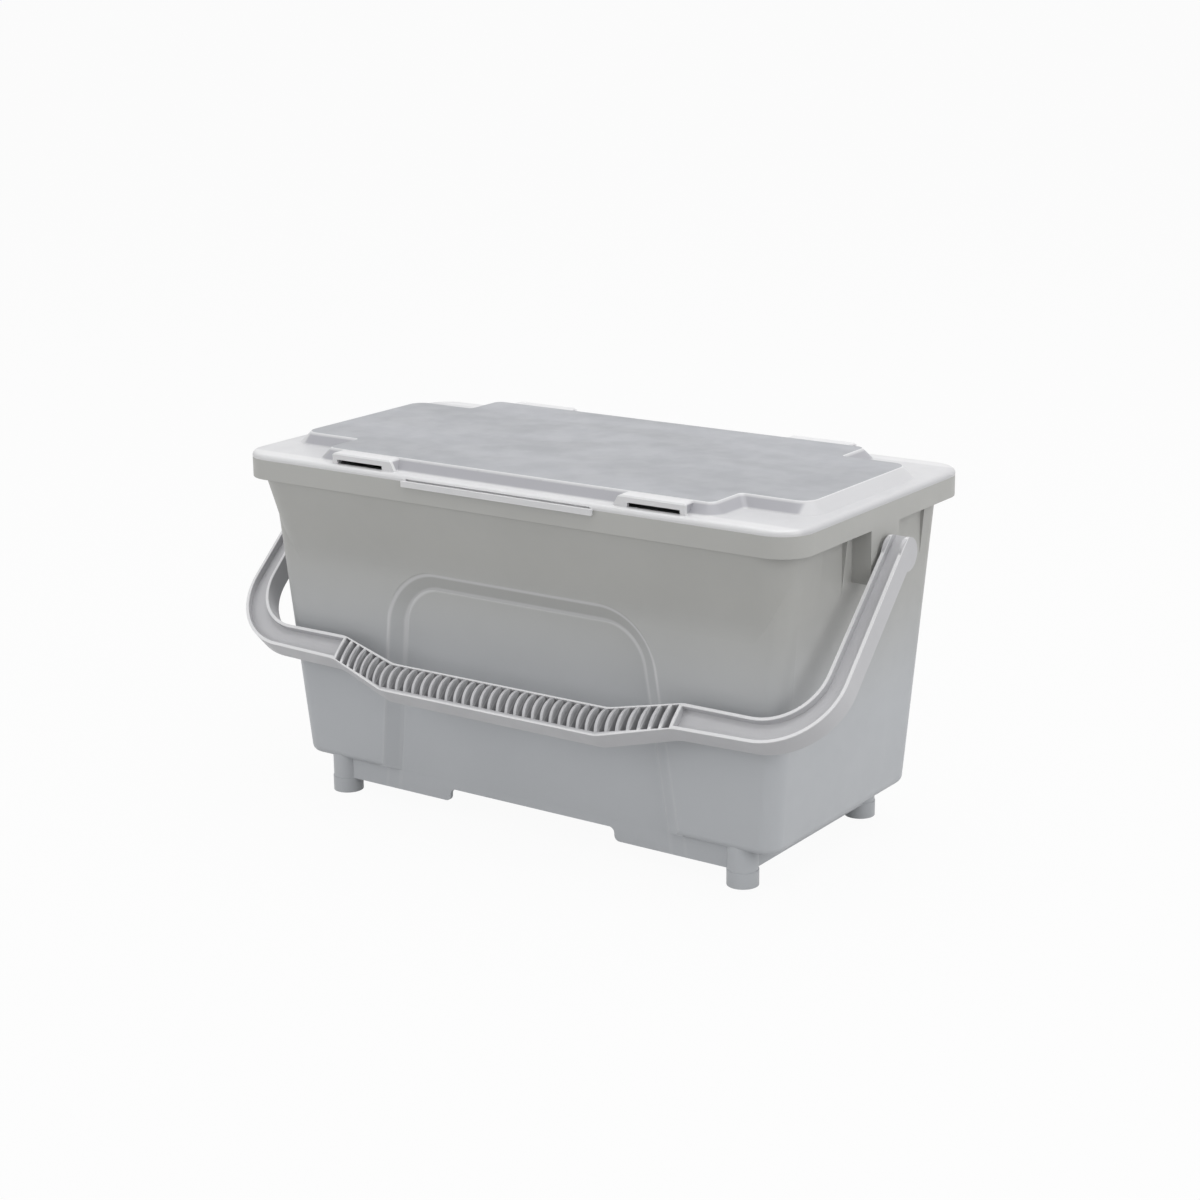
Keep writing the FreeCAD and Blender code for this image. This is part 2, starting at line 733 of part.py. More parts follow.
# front pull lip, hanging just clear of the rim
lip_back = S.rim_half_width + S.lip_gap
lip_front = lip_back + S.lip_thickness
lip = new_sketch(lid, "lip_outline", "YZ")
ledge_top = S.rim_top_height + S.lip_ledge
outline(lip, [
    (-lip_front, S.rim_top_height - S.lip_low_drop, None),
    (-lip_back, S.rim_top_height - S.lip_low_drop, None),
    (-lip_back, S.rim_top_height, None),
    (-(S.rim_half_width - S.lid_bead_width / 2), S.rim_top_height, None),
    (-(S.rim_half_width - S.lid_bead_width / 2), ledge_top, None),
    (-lip_front, ledge_top, None)])
pad(lid, "lip", lip, S.lip_half_length * 2, both_sides=True)
groove = new_sketch(lid, "lip_groove_outline", "YZ")
box(groove, -(S.rim_half_width + S.overrun), ledge_top, -(S.rim_half_width - S.lip_groove_depth),
    ledge_top + S.lip_groove_height)
pocket(lid, "lip_groove", groove, (S.lip_half_length - S.lip_thickness) * 2, both_sides=True)

# ribs under the lid that keep it in the mouth of the tub
mouth_front = flare_reach(S.wall)
mouth_back = back_line(S.rim_low_height, S.wall)
mouth_end = pocket_back
locator_low = S.rim_top_height - S.locator_drop
skin_mid = plateau_top - S.lid_wall / 2


def locator(name, plane, edge, plateau_edge, side, places):
    """Rib profiles in a cross plane, reaching out to the mouth's wall less a clearance."""
    made = []
    out = edge - S.locator_clearance
    brim = plateau_edge + S.plateau_run
    shoulder = plateau_edge - S.lid_wall / 2
    low_in = out - S.locator_length
    for i, place in enumerate(places):
        sk = new_sketch(lid, "%s_%d" % (name, i), plane, shift=place)
        if out.value > brim.value:
            top = [(out, embed), (brim - S.lid_wall, embed), (shoulder, skin_mid)]
        else:
            top = [(out, plateau_top - (out - plateau_edge) - S.lid_wall), (shoulder, skin_mid)]
        points = [(low_in, skin_mid), (low_in, deck_under), (out - S.locator_length / 2, locator_low),
                  (out, locator_low)] + top
        outline(sk, [(x * side, z, None) for x, z in (points if side > 0 else reversed(points))])
        made.append(pad(lid, "%s_rib_%d" % (name, i), sk, S.locator_rib, both_sides=True))
    return made


places = [S.locator_place_near, S.locator_place_far]
front_ribs = locator("locator_front", "YZ", mouth_front, S.centre_half_width, -1, places)
back_ribs = locator("locator_back", "YZ", mouth_back, S.centre_half_width, 1, places)
mirrored(lid, "locators_left", front_ribs + back_ribs, "YZ")
end_ribs = locator("locator_end", "XZ", mouth_end, S.plateau_half_length, 1,
                   [S.locator_place_end, -S.locator_place_end])
mirrored(lid, "locators_end_left", end_ribs, "YZ")

# Bail, modelled flat and turned to its resting angle by its placement

bail = doc.addObject("PartDesign::Body", "bail_handle")
bail.Label = "bail_handle"


def loop_outline(sk, inner, outer):
    """Closed strap outline: inner and outer half lists of (x, y, radius), from the ear down."""
    right = list(outer)
    left = [(-x, y, r) for x, y, r in reversed(outer)]
    inner_left = [(-x, y, r) for x, y, r in inner]
    inner_right = list(reversed(inner))
    outline(sk, right + left + inner_left + inner_right)


outer_half = [
    (S.ear_outer_place, ZERO, None),
    (S.arm_outer_place, -S.loop_outer_drop, S.loop_outer_radius),
    (S.grip_half_length, -S.grip_outer_shoulder, S.grip_bend_radius),
    (S.grip_straight_half, -S.grip_outer_drop, S.grip_bend_radius)]
inner_half = [
    (S.ear_inner_place, ZERO, None),
    (S.arm_inner_place, -S.loop_inner_drop, S.loop_inner_radius),
    (S.grip_half_length, -S.loop_inner_drop, S.grip_bend_radius),
    (S.grip_straight_half, -S.grip_inner_drop, S.grip_bend_radius)]
strap = new_sketch(bail, "strap_outline", "XY", shift=-S.bail_back)
loop_outline(strap, inner_half, outer_half)
pad(bail, "strap", strap, S.bail_front + S.bail_back)

ear = new_sketch(bail, "ear_outline", "YZ", shift=S.ear_inner_place)
circle(ear, ZERO, ZERO, S.ear_radius)
ear_right = pad(bail, "ear", ear, S.ear_outer_place - S.ear_inner_place)
collar_start = S.rim_half_length - S.housing_plate - S.stud_collar_gap
stud = new_sketch(bail, "stud_outline", "YZ", shift=collar_start)
circle(stud, ZERO, ZERO, S.stud_radius)
stud_right = pad(bail, "stud", stud, S.ear_inner_place + S.bail_flange / 2 - collar_start)
collar_ring = new_sketch(bail, "stud_collar_outline", "YZ", shift=collar_start)
circle(collar_ring, ZERO, ZERO, S.stud_collar_radius)
collar_right = pad(bail, "stud_collar", collar_ring, S.stud_collar_length, reverse=True)
mirrored(bail, "left_end", [ear_right, stud_right, collar_right], "YZ")

# crown of the grip


def crown_section(name, place, inner, outer, height):
    sk = new_sketch(bail, name, "YZ", shift=place)
    low = -(outer - S.crown_margin)
    high = -(inner + S.crown_margin)
    level = S.bail_front
    base = S.bail_front - S.crown_root
    a = Vector(low.value, level.value, 0)
    b = Vector(high.value, level.value, 0)
    top = Vector((low.value + high.value) / 2, level.value + height.value, 0)
    arc = sk.addGeometry(Part.Arc(b, top, a), False)
    left = sk.addGeometry(Part.LineSegment(a, Vector(low.value, base.value, 0)), False)
    bottom = sk.addGeometry(Part.LineSegment(Vector(low.value, base.value, 0),
                                             Vector(high.value, base.value, 0)), False)
    right = sk.addGeometry(Part.LineSegment(Vector(high.value, base.value, 0), b), False)
    sk.addConstraint(Sketcher.Constraint("Coincident", arc, 2, left, 1))
    sk.addConstraint(Sketcher.Constraint("Coincident", left, 2, bottom, 1))
    sk.addConstraint(Sketcher.Constraint("Coincident", bottom, 2, right, 1))
    sk.addConstraint(Sketcher.Constraint("Coincident", right, 2, arc, 1))
    place_point(sk, left, 1, low, level)
    place_point(sk, bottom, 1, low, base)
    place_point(sk, right, 1, high, base)
    place_point(sk, right, 2, high, level)
    half = (high - low) / 2
    dimension(sk, "Radius", (arc,), (half * half + height * height) / (height * 2))
    return sk


crown = [
    crown_section("crown_left_end", -S.grip_half_length, S.loop_inner_drop, S.grip_outer_shoulder,
                  S.crown_end_height),
    crown_section("crown_left", -S.grip_straight_half, S.grip_inner_drop, S.grip_outer_drop,
                  S.crown_height),
    crown_section("crown_right", S.grip_straight_half, S.grip_inner_drop, S.grip_outer_drop,
                  S.crown_height),
    crown_section("crown_right_end", S.grip_half_length, S.loop_inner_drop, S.grip_outer_shoulder,
                  S.crown_end_height)]
loft(bail, "crown", "AdditiveLoft", crown)

# channels of the two arms, in front and behind, with a web between them
cut_plane = S.bail_front + S.crown_height + S.overrun
f = S.bail_flange
ear_top = S.ear_radius + S.overrun
arm = [
    (S.ear_outer_place - f, ear_top, None),
    (S.ear_outer_place - f, ZERO, None),
    (S.arm_outer_place - f, -(S.loop_outer_drop - f), S.loop_outer_radius - f),
    (S.grip_half_length, -(S.grip_outer_shoulder - f), None),
    (S.grip_half_length, -(S.loop_inner_drop + f), None),
    (S.arm_inner_place + f, -(S.loop_inner_drop + f), S.loop_inner_radius + f),
    (S.ear_inner_place + f, ZERO, None),
    (S.ear_inner_place + f, ear_top, None)]


def channel(name, level, depth, behind):
    sk = new_sketch(bail, name + "_outline", "XY", shift=level)
    outline(sk, arm)
    outline(sk, [(-x, y, r) for x, y, r in reversed(arm)])
    pocket(bail, name, sk, depth, reverse=behind)


channel("front_channel", cut_plane, cut_plane - S.bail_front + S.channel_depth, False)
web_back = S.bail_front - S.channel_depth - S.bail_web
channel("back_channel", -ear_top, ear_top + web_back, True)

# slots of the grip: a row along the straight middle and a row down each ramp
cut_depth = cut_plane + S.bail_back - S.bail_web
slot_half = (S.rib_pitch - S.rib_thickness) / 2
first_place = -(S.rib_pitch * (S.centre_slots - ONE) / 2)


def slot_row(name, corners, axis_sketch, axis, length, count):
    """A slot through corners and its copies along a sketch line."""
    sk = new_sketch(bail, name + "_outline", "XY", shift=cut_plane)
    outline(sk, corners)
    cut = pocket(bail, name, sk, cut_depth)
    row_of = bail.newObject("PartDesign::LinearPattern", name + "_row")
    row_of.Originals = [cut]
    row_of.Direction = (axis_sketch or sk, [axis])
    row_of.Length = length.value
    bind(row_of, "Length", length)
    row_of.Occurrences = int(count.value)
    bind(row_of, "Occurrences", count)
    bail.Tip = row_of
    settle(row_of)


slot_low = -(S.grip_outer_drop - f)
slot_high = -(S.grip_inner_drop + f)
slot_row("middle_slot", [
    (first_place - slot_half, slot_low, None), (first_place + slot_half, slot_low, None),
    (first_place + slot_half, slot_high, None), (first_place - slot_half, slot_high, None)],
    None, "H_Axis", S.rib_pitch * (S.centre_slots - ONE), S.centre_slots)

ramp_run = S.grip_half_length - S.grip_straight_half
ramp_rise = (S.grip_inner_drop - S.loop_inner_drop + S.grip_outer_drop - S.grip_outer_shoulder) / 2
ramp_start = S.rib_pitch * (S.centre_slots + ONE) / 2
grade = ramp_rise / ramp_run
slot_pitch = S.rib_pitch * root_sum(ONE, grade)


def ramp_line(x, drop):
    """Depth of the sloping edge that starts at the straight grip's end."""
    return -(drop - (x - S.grip_straight_half) * grade)


near = ramp_start - slot_half
far = ramp_start + slot_half
ramp = [(near, ramp_line(near, S.grip_outer_drop - f), None), (far, ramp_line(far, S.grip_outer_drop - f), None),
        (far, ramp_line(far, S.grip_inner_drop + f), None), (near, ramp_line(near, S.grip_inner_drop + f), None)]
for name, side in (("right_ramp", 1), ("left_ramp", -1)):
    line = new_sketch(bail, name + "_axis", "XY", shift=cut_plane)
    guide = line.addGeometry(Part.LineSegment(
        Vector(0, 0, 0), Vector(ramp_run.value * side, ramp_rise.value, 0)), True)
    line.addConstraint(Sketcher.Constraint("Coincident", guide, 1, -1, 1))
    place_point(line, guide, 2, ramp_run * side, ramp_rise)
    corners = [(x * side, y, r) for x, y, r in (ramp if side > 0 else reversed(ramp))]
    slot_row(name, corners, line, "Axis0", slot_pitch * (S.ramp_slots - ONE), S.ramp_slots)

bail.Placement = Placement(Vector(0, 0, S.pivot_height.value), Rotation(Vector(1, 0, 0), S.bail_rest_tilt.value))
bind(bail, ".Placement.Base.z", S.pivot_height)
bind(bail, ".Placement.Rotation.Angle", S.bail_rest_tilt)
doc.recompute()

# Checks and export

NODES = [tub, lid, bail]
for obj in doc.Objects:
    if "Invalid" in obj.State or "Error" in obj.State:
        raise RuntimeError("%s is in state %s" % (obj.Name, obj.State))
for node in NODES:
    if node.Shape.isNull() or not node.Shape.isValid():
        raise RuntimeError("%s has no valid shape" % node.Label)
    if len(node.Shape.Solids) != 1:
        raise RuntimeError("%s has %d solids" % (node.Label, len(node.Shape.Solids)))
os.makedirs("parts", exist_ok=True)
for node in NODES:
    node.Shape.exportStep("parts/%s.step" % node.Label)
    print(node.Label, round(node.Shape.Volume), node.Shape.BoundBox)
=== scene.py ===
import math

import bpy
from bpy.props import FloatProperty, FloatVectorProperty, PointerProperty
from bpy.types import Operator, Panel, PropertyGroup
from mathutils import Matrix, Vector

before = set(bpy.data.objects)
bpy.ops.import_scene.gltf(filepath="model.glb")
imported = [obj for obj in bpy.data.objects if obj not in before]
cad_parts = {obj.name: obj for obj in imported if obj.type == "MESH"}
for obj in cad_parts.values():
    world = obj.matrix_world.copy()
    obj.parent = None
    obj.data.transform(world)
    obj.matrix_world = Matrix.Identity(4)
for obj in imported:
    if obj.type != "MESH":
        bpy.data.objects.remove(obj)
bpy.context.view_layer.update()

bl_info = {
    "name": "Window Cleaning Bucket",
    "version": (1, 0, 0),
    "blender": (4, 5, 0),
    "location": "View3D > Sidebar > Bucket",
    "description": "Moulded finishes for a window cleaning bucket, with its stage and camera",
    "category": "Object",
}

# Places that the finishes follow

# Lengths are in metres. A pair is the start and the end of a blend.

# tub: the walls with painted shade under the rim, and the painted highlight lines of the arched recess of
# the front wall
UNDER_RIM_SHADE_BLEND = (0.10, 0.24)
ARCH_TOP = 0.2085
ARCH_HALF = 0.1245
ARCH_LEG_SLOPE = 0.127
ARCH_RADIUS = 0.046
ARCH_SIDE_RUN = 0.0135
# widths of the painted highlight lines on the edge and the root of the recess, then their fade with height
ARCH_HIGHLIGHT_LINE = (0.0004, 0.0024)
ARCH_ROOT_HIGHLIGHT_LINE = (0.0008, 0.0030)
ARCH_HIGHLIGHT_FADE = (0.10, 0.17)
FRONT_WALL = (-0.094, -0.091)

# lid: deck, border, and the slopes, crest and top of the raised middle; the border and the crest get
# painted highlights, the long slopes and the middle top painted shade
BORDER = (0.116, 0.121)
SLOPE_REACH = (0.1235, 0.1245)
SLOPE_FOOT = (0.2930, 0.2945)
SLOPE_HEAD = (0.2995, 0.3010)
END_SLOPES = (0.236, 0.240)
CREST_FOOT = (0.3012, 0.3015)
CREST_HEAD = (0.30185, 0.30195)
MIDDLE_TOP = (0.30185, 0.30197)

# handle: its front plane at rest, along which a painted highlight line runs on the flange fronts
PIVOT_HEIGHT = 0.252
BAIL_TILT = math.radians(43.5)
FLANGE_FRONT = 0.0107
FLANGE_HIGHLIGHT_LINE = (0.0003, 0.0012)

# stage: lamps with their place, target, side and power setting, the floor's own grey,
# and the share of white glow where the floor is seen
LAMPS = (
    ("overhead_lamp", (0.2, 0.3, 2.6), (0, 0, 0.1), 2.6, "lamp_power"),
    ("side_lamp", (2.6, -0.4, 1.2), (0, 0, 0.15), 1.6, "side_power"),
    ("front_lamp", (-1.3, -2.3, 0.8), (0, 0, 0.15), 1.6, "front_power"),
)
FLOOR_GREY = 0.5
FLOOR_GLOW = 0.95


# Settings

def tint(name, description, default):
    return FloatVectorProperty(name=name, description=description, default=default,
                               subtype="COLOR", size=3, min=0.0, max=1.0)


class TubFinish(PropertyGroup):
    """Finish of the grey tub."""
    colour: tint("Colour", "Grey of the moulded tub", (0.450, 0.465, 0.485))
    # painted shade: the walls are painted darker upwards under the rim, where they flare and face down
    under_rim_shade_colour: tint("High colour", "Grey of the walls just under the rim", (0.395, 0.395, 0.380))
    # painted highlight: the pale lines round the arched recess stand for its rounded edges catching the
    # light
    arch_highlight_colour: tint("Edge colour", "Worn pale line round the arched recess", (0.62, 0.62, 0.63))
    roughness: FloatProperty(name="Roughness", description="How dull the satin surface is",
                             default=0.46, min=0.05, max=1.0, subtype="FACTOR")
    grain: FloatProperty(name="Grain", description="Height of the fine moulded grain",
                         default=0.00006, min=0.0, unit="LENGTH")


class LidFinish(PropertyGroup):
    """Finish of the milky lid."""
    colour: tint("Colour", "Milky white of the rim and the pads", (0.68, 0.68, 0.695))
    # painted shade: the raised middle is painted dark, as the shaded inside of the tub seen through the lid
    plateau_shade_colour: tint("Plateau colour", "Lilac grey of the raised middle", (0.325, 0.335, 0.360))
    shaded_streak_colour: tint("Streak colour", "Paler flow streaks in the raised middle", (0.385, 0.395, 0.425))
    # painted highlight: paler strip along the long edges of the deck
    border_highlight_colour: tint("Border colour", "Paler strip along the long edges", (0.80, 0.80, 0.81))
    # painted highlight: pale line where the slope meets the middle
    crest_highlight_colour: tint("Crest colour", "Pale line where the slope meets the middle", (0.82, 0.82, 0.83))
    # painted shade: the long slopes round the middle are painted darker
    slope_shade_colour: tint("Slope colour", "Lilac grey of the long slopes round the middle", (0.44, 0.44, 0.47))
    roughness: FloatProperty(name="Roughness", description="How dull the milky surface is",
                             default=0.34, min=0.05, max=1.0, subtype="FACTOR")
    clearness: FloatProperty(name="Clearness", description="Share of the light that passes through",
                             default=0.28, min=0.0, max=1.0, subtype="FACTOR")


class BailFinish(PropertyGroup):
    """Finish of the grey swinging handle."""
    colour: tint("Colour", "Lilac grey of the handle", (0.475, 0.475, 0.49))
    # painted highlight: pale line along the front faces of the flanges
    flange_highlight_colour: tint("Flange colour", "Pale front faces of the flanges", (0.74, 0.74, 0.75))
    roughness: FloatProperty(name="Roughness", description="How dull the handle is",
                             default=0.42, min=0.05, max=1.0, subtype="FACTOR")


class StageSettings(PropertyGroup):
    """Floor, lamps and camera."""
    floor_size: FloatProperty(name="Floor size", description="Side of the floor",
                              default=90.0, unit="LENGTH")
    sky: FloatProperty(name="Sky", description="Strength of the even light from all round",
                       default=0.66, min=0.0)
    lamp_power: FloatProperty(name="Overhead lamp", description="Power of the wide lamp overhead",
                              default=42.0, min=0.0, unit="POWER")
    side_power: FloatProperty(name="Side lamp", description="Power of the soft lamp on the right",
                              default=21.0, min=0.0, unit="POWER")
    front_power: FloatProperty(name="Front lamp", description="Power of the soft lamp in front on the left",
                               default=14.0, min=0.0, unit="POWER")
    camera_place: FloatVectorProperty(name="Camera place", description="Where the camera stands",
                                      default=(1.12219, -1.59213, 0.71585), subtype="TRANSLATION",
                                      unit="LENGTH", size=3)
    azimuth: FloatProperty(name="Azimuth", description="Turn of the camera about the vertical",
                           default=math.radians(35.1087), unit="ROTATION")
    elevation: FloatProperty(name="Elevation", description="How far the camera looks down",
                             default=math.radians(15.5422), unit="ROTATION")
    roll: FloatProperty(name="Roll", description="Turn of the camera about its own line of sight",
                        default=math.radians(0.6952), unit="ROTATION")
    lens: FloatProperty(name="Lens", description="Focal length on a 36 mm sensor, in millimetres",
                        default=74.0985, min=10.0)


# Material helpers

WHITE = (1.0, 1.0, 1.0)
SPECK_GREY = (0.25, 0.26, 0.26)


class Recipe:
    """A material being built: adds nodes and joins them."""

    def __init__(self, name):
        self.material = bpy.data.materials.new(name)
        self.material.use_nodes = True
        self.tree = self.material.node_tree
        self.surface = self.tree.nodes["Principled BSDF"]
        self.place = self.add("ShaderNodeTexCoord").outputs["Object"]

    def add(self, kind, **values):
        node = self.tree.nodes.new(kind)
        for name, value in values.items():
            setattr(node, name, value)
        return node

    def join(self, source, target):
        self.tree.links.new(source, target)

    def feed(self, socket, value):
        if isinstance(value, bpy.types.NodeSocket):
            self.join(value, socket)
        else:
            socket.default_value = value

    def stretched(self, scale):
        node = self.add("ShaderNodeMapping")
        self.join(self.place, node.inputs["Vector"])
        node.inputs["Scale"].default_value = scale
        return node.outputs["Vector"]

    def noise(self, scale, detail=3.0, roughness=0.55, stretch=(1, 1, 1), distortion=0.0):
        node = self.add("ShaderNodeTexNoise")
        self.join(self.stretched(stretch), node.inputs["Vector"])
        node.inputs["Scale"].default_value = scale
        node.inputs["Detail"].default_value = detail
        node.inputs["Roughness"].default_value = roughness
        node.inputs["Distortion"].default_value = distortion
        return node.outputs["Fac"]

    def axes(self):
        node = self.add("ShaderNodeSeparateXYZ")
        self.join(self.place, node.inputs["Vector"])
        return node.outputs["X"], node.outputs["Y"], node.outputs["Z"]

    def maths(self, operation, a, b=0.0):
        node = self.add("ShaderNodeMath", operation=operation)
        self.feed(node.inputs[0], a)
        self.feed(node.inputs[1], b)
        return node.outputs["Value"]

    def ramp(self, value, low, high, start=0.0, stop=1.0, soft=True):
        node = self.add("ShaderNodeMapRange", interpolation_type="SMOOTHSTEP" if soft else "LINEAR")
        self.join(value, node.inputs["Value"])
        node.inputs["From Min"].default_value = low
        node.inputs["From Max"].default_value = high
        node.inputs["To Min"].default_value = start
        node.inputs["To Max"].default_value = stop
        return node.outputs["Result"]

    def mix(self, share, first, second, blend="MIX"):
        node = self.add("ShaderNodeMix", data_type="RGBA", blend_type=blend)
        self.feed(node.inputs["Factor"], share)
        for socket, value in ((node.inputs["A"], first), (node.inputs["B"], second)):
            if not isinstance(value, bpy.types.NodeSocket):
                value = (*value, 1.0)
            self.feed(socket, value)
        return node.outputs["Result"]

    def grain(self, *layers):
        """Bumps one over the other: pairs of height and distance."""
        last = None
        for height, distance in layers:
            node = self.add("ShaderNodeBump")
            node.inputs["Strength"].default_value = 1.0
            node.inputs["Distance"].default_value = distance
            self.join(height, node.inputs["Height"])
            if last is not None:
                self.join(last, node.inputs["Normal"])
            last = node.outputs["Normal"]
        self.join(last, self.surface.inputs["Normal"])

    def clouded(self, colour, scale, strength):
        """Colour with soft pale clouds."""
        share = self.ramp(self.noise(scale, detail=4.0), 0.3, 0.7, 0.0, strength)
        return self.mix(share, colour, WHITE, "SOFT_LIGHT")

    def specked(self, colour):
        """Colour with fine dark specks."""
        share = self.ramp(self.noise(1900.0, detail=1.0), 0.62, 0.8, 0.0, 0.10)
        return self.mix(share, colour, SPECK_GREY)

    def uneven_gloss(self, scale, roughness):
        """Roughness that drifts a little about its setting."""
        drift = self.noise(scale, detail=5.0)
        self.set("Roughness", self.ramp(drift, 0.3, 0.7, roughness - 0.05, roughness + 0.06))

    def set(self, name, value):
        self.feed(self.surface.inputs[name], value)


def dress_node(name, material):
    """Give a CAD node its finished material."""
    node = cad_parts[name]
    if not node.material_slots:
        raise RuntimeError(name + " has no material slot")
    for slot in node.material_slots:
        slot.material = material


# Finishes

def arch_distance(skin, x, z):
    """Distance from the outline of the arched recess, negative inside it."""
    drop = skin.maths("SUBTRACT", ARCH_TOP, z)
    half = skin.maths("ADD", skin.maths("MULTIPLY", drop, ARCH_LEG_SLOPE), ARCH_HALF - ARCH_RADIUS)
    across = skin.maths("SUBTRACT", skin.maths("ABSOLUTE", x), half)
    up = skin.maths("SUBTRACT", ARCH_RADIUS, drop)
    corner = skin.add("ShaderNodeVectorMath", operation="LENGTH")
    both = skin.add("ShaderNodeCombineXYZ")
    skin.feed(both.inputs["X"], skin.maths("MAXIMUM", across, 0.0))
    skin.feed(both.inputs["Y"], skin.maths("MAXIMUM", up, 0.0))
    skin.join(both.outputs["Vector"], corner.inputs[0])
    inner = skin.maths("MINIMUM", skin.maths("MAXIMUM", across, up), 0.0)
    total = skin.maths("ADD", corner.outputs["Value"], inner)
    return skin.maths("SUBTRACT", total, ARCH_RADIUS)


def arch_glint(skin, x, y, z):
    """Share of the painted highlight lines along the edge and the root of the arched recess, stronger
    higher up.
    """
    edge = arch_distance(skin, x, z)
    from_root = skin.maths("ADD", edge, ARCH_SIDE_RUN)
    line = skin.ramp(skin.maths("ABSOLUTE", edge), *ARCH_HIGHLIGHT_LINE, 1.0, 0.0)
    root = skin.ramp(skin.maths("ABSOLUTE", from_root), *ARCH_ROOT_HIGHLIGHT_LINE, 0.8, 0.0)
    height_share = skin.ramp(z, *ARCH_HIGHLIGHT_FADE, 0.15, 0.75)
    outside = skin.maths("MULTIPLY", skin.ramp(y, *FRONT_WALL, 1.0, 0.0), height_share)
    return skin.maths("MULTIPLY", skin.maths("MAXIMUM", line, root), outside)


class BUCKET_OT_finish_tub(Operator):
    """Satin grey moulded plastic for the tub, with painted shade under the rim and painted highlight lines
    round the arched recess
    """
    bl_idname = "bucket.finish_tub"
    bl_label = "Finish the tub"

    def execute(self, context):
        look = context.scene.bucket_tub
        skin = Recipe("satin_grey_tub")
        x, y, z = skin.axes()
        # painted shade: the wall grey turns to the darker under-rim colour upwards
        wall = skin.mix(skin.ramp(z, *UNDER_RIM_SHADE_BLEND), tuple(look.colour), tuple(look.under_rim_shade_colour))
        wall = skin.specked(skin.clouded(wall, 9.0, 0.06))
        # painted highlight lines round the arched recess
        skin.set("Base Color", skin.mix(arch_glint(skin, x, y, z), wall, tuple(look.arch_highlight_colour)))
        skin.uneven_gloss(60.0, look.roughness)
        skin.set("Specular IOR Level", 0.42)
        drag = skin.noise(26.0, detail=3.0, stretch=(1.0, 1.0, 0.12))
        skin.grain((skin.noise(1500.0, detail=2.0), look.grain), (drag, look.grain * 1.5))
        dress_node("tub", skin.material)
        return {"FINISHED"}


def band(skin, height, foot, head):
    """1 between the two blends, 0 below and above them."""
    return skin.maths("MULTIPLY", skin.ramp(height, *foot), skin.ramp(height, *head, 1.0, 0.0))


class BUCKET_OT_finish_lid(Operator):
    """Milky, slightly see-through plastic for the lid, with painted shade on the raised middle and the long
    slopes and painted highlights on the border and the crest
    """
    bl_idname = "bucket.finish_lid"
    bl_label = "Finish the lid"

    def execute(self, context):
        look = context.scene.bucket_lid
        skin = Recipe("milky_lid")
        x, y, z = skin.axes()
        wave = skin.noise(14.0, detail=5.0, roughness=0.5, stretch=(0.35, 1.0, 1.0), distortion=1.2)
        # painted shade on the raised middle, broken by paler flow streaks
        middle = skin.mix(skin.ramp(wave, 0.35, 0.65),
                          tuple(look.plateau_shade_colour), tuple(look.shaded_streak_colour))
        across = skin.maths("ABSOLUTE", y)
        along = skin.maths("ABSOLUTE", x)
        # painted highlight on the border strip of the deck
        deck = skin.mix(skin.ramp(across, *BORDER), tuple(look.colour), tuple(look.border_highlight_colour))
        # painted shade on the long slopes, the end slopes stay milky
        slopes = skin.mix(skin.ramp(along, *END_SLOPES), tuple(look.slope_shade_colour), tuple(look.colour))
        slope = skin.maths("MULTIPLY", band(skin, z, SLOPE_FOOT, SLOPE_HEAD),
                           skin.ramp(across, *SLOPE_REACH, 1.0, 0.0))
        milky = skin.mix(slope, deck, slopes)
        # painted highlight along the crest
        milky = skin.mix(band(skin, z, CREST_FOOT, CREST_HEAD), milky, tuple(look.crest_highlight_colour))
        # the top of the raised middle gets the painted shade
        skin.set("Base Color", skin.mix(skin.ramp(z, *MIDDLE_TOP), milky, middle))
        skin.uneven_gloss(45.0, look.roughness)
        skin.set("Transmission Weight", look.clearness)
        skin.set("IOR", 1.49)
        skin.grain((skin.noise(900.0, detail=2.0), 0.00005), (skin.noise(30.0, detail=2.0), 0.0002))
        dress_node("lid", skin.material)
        return {"FINISHED"}


def flange_highlight_share(skin):
    """Share of the painted highlight along the front faces of the handle's flanges."""
    x, y, z = skin.axes()
    rise = skin.maths("MULTIPLY", skin.maths("SUBTRACT", z, PIVOT_HEIGHT), math.cos(BAIL_TILT))
    front = skin.maths("SUBTRACT", rise, skin.maths("MULTIPLY", y, math.sin(BAIL_TILT)))
    off = skin.maths("ABSOLUTE", skin.maths("SUBTRACT", front, FLANGE_FRONT))
    return skin.ramp(off, *FLANGE_HIGHLIGHT_LINE, 0.8, 0.0)


class BUCKET_OT_finish_bail(Operator):
    """Satin grey moulded plastic for the swinging handle, with a painted highlight along the front faces of
    the flanges
    """
    bl_idname = "bucket.finish_bail"
    bl_label = "Finish the handle"

    def execute(self, context):
        look = context.scene.bucket_bail
        skin = Recipe("satin_grey_handle")
        grey = skin.specked(skin.clouded(tuple(look.colour), 12.0, 0.08))
        # painted highlight along the flange fronts
        skin.set("Base Color", skin.mix(flange_highlight_share(skin), grey, tuple(look.flange_highlight_colour)))
        skin.uneven_gloss(70.0, look.roughness)
        skin.set("Specular IOR Level", 0.45)
        skin.grain((skin.noise(1500.0, detail=2.0), 0.00006), (skin.noise(40.0, detail=3.0), 0.0001))
        dress_node("bail_handle", skin.material)
        return {"FINISHED"}


# Stage

def seen_directly(tree):
    """1 for camera, mirrored and passed-through rays, else 0."""
    path = tree.nodes.new("ShaderNodeLightPath")
    total = path.outputs["Is Camera Ray"]
    for name in ("Is Glossy Ray", "Is Transmission Ray"):
        node = tree.nodes.new("ShaderNodeMath")
        node.operation = "MAXIMUM"
        tree.links.new(total, node.inputs[0])
        tree.links.new(path.outputs[name], node.inputs[1])
        total = node.outputs["Value"]
    return total


